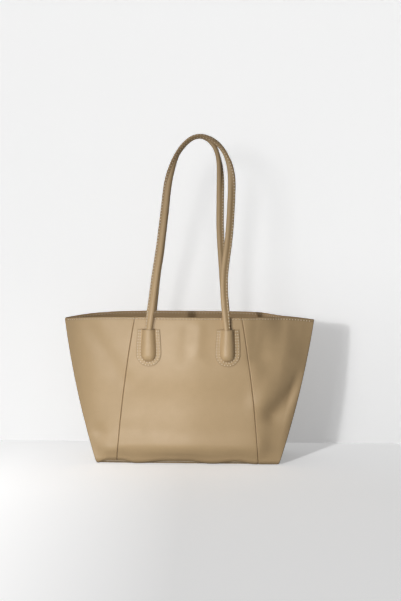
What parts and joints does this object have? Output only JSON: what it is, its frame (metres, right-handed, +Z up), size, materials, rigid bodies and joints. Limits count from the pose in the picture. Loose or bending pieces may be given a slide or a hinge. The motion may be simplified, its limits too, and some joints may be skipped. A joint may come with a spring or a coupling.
{
  "type": "slouchy tote bag",
  "caption": "Open-top leather tote with a rounded trapezoid front, folded gusset sides, a flat base and long rolled shoulder handles that swing outwards from stitched tabs.",
  "frame": {"origin": "on the ground under the middle of the base, which is the bottom centre of the bounding box", "axes": "+Z up through the handles, -Y out of the front with the tabs that face the viewer, +X to the right seen from the front"},
  "size_m": [0.431, 0.1404, 0.5622],
  "materials": {
    "smooth_leather": "smooth tan leather, satin, pale thread",
    "facing_leather": "smooth tan leather, matte",
    "lining_cloth": "plain woven cotton",
    "stay_web": "woven stay tape",
    "base_board": "pressed fibre board",
    "handle_cord": "twisted cotton cord",
    "pale_brass": "polished"
  },
  "bodies": {
    "bag": {"front_centre_panel": "smooth_leather", "front_left_panel": "smooth_leather", "front_right_panel": "smooth_leather", "back_centre_panel": "smooth_leather", "back_left_panel": "smooth_leather", "back_right_panel": "smooth_leather", "left_gusset": "smooth_leather", "right_gusset": "smooth_leather", "base_panel": "smooth_leather", "base_board": "base_board", "front_rim_facing": "facing_leather", "back_rim_facing": "facing_leather", "front_rim_tape": "stay_web", "back_rim_tape": "stay_web", "front_left_tab_patch": "stay_web", "front_right_tab_patch": "stay_web", "back_left_tab_patch": "stay_web", "back_right_tab_patch": "stay_web", "front_lining": "lining_cloth", "back_lining": "lining_cloth", "left_lining": "lining_cloth", "right_lining": "lining_cloth", "base_lining": "lining_cloth", "front_left_handle_tab": "smooth_leather", "front_right_handle_tab": "smooth_leather", "back_left_handle_tab": "smooth_leather", "back_right_handle_tab": "smooth_leather", "front_left_handle_end": "smooth_leather", "front_right_handle_end": "smooth_leather", "back_left_handle_end": "smooth_leather", "back_right_handle_end": "smooth_leather", "snap_socket": "pale_brass", "snap_stud": "pale_brass", "front_snap_washer": "pale_brass", "back_snap_washer": "pale_brass"},
    "front_handle": {"front_handle_cover": "smooth_leather", "front_handle_cord": "handle_cord"},
    "back_handle": {"back_handle_cover": "smooth_leather", "back_handle_cord": "handle_cord"}
  },
  "joints": [
    {"name": "front_handle_swing", "type": "hinge", "parent": "bag", "child": "front_handle", "pos_m": [0, -0.0651, 0.2307], "axis": [1, 0, 0], "range_deg": [0, 142]},
    {"name": "back_handle_swing", "type": "hinge", "parent": "bag", "child": "back_handle", "pos_m": [0, 0.0651, 0.2307], "axis": [-1, 0, 0], "range_deg": [0, 142]}
  ]
}
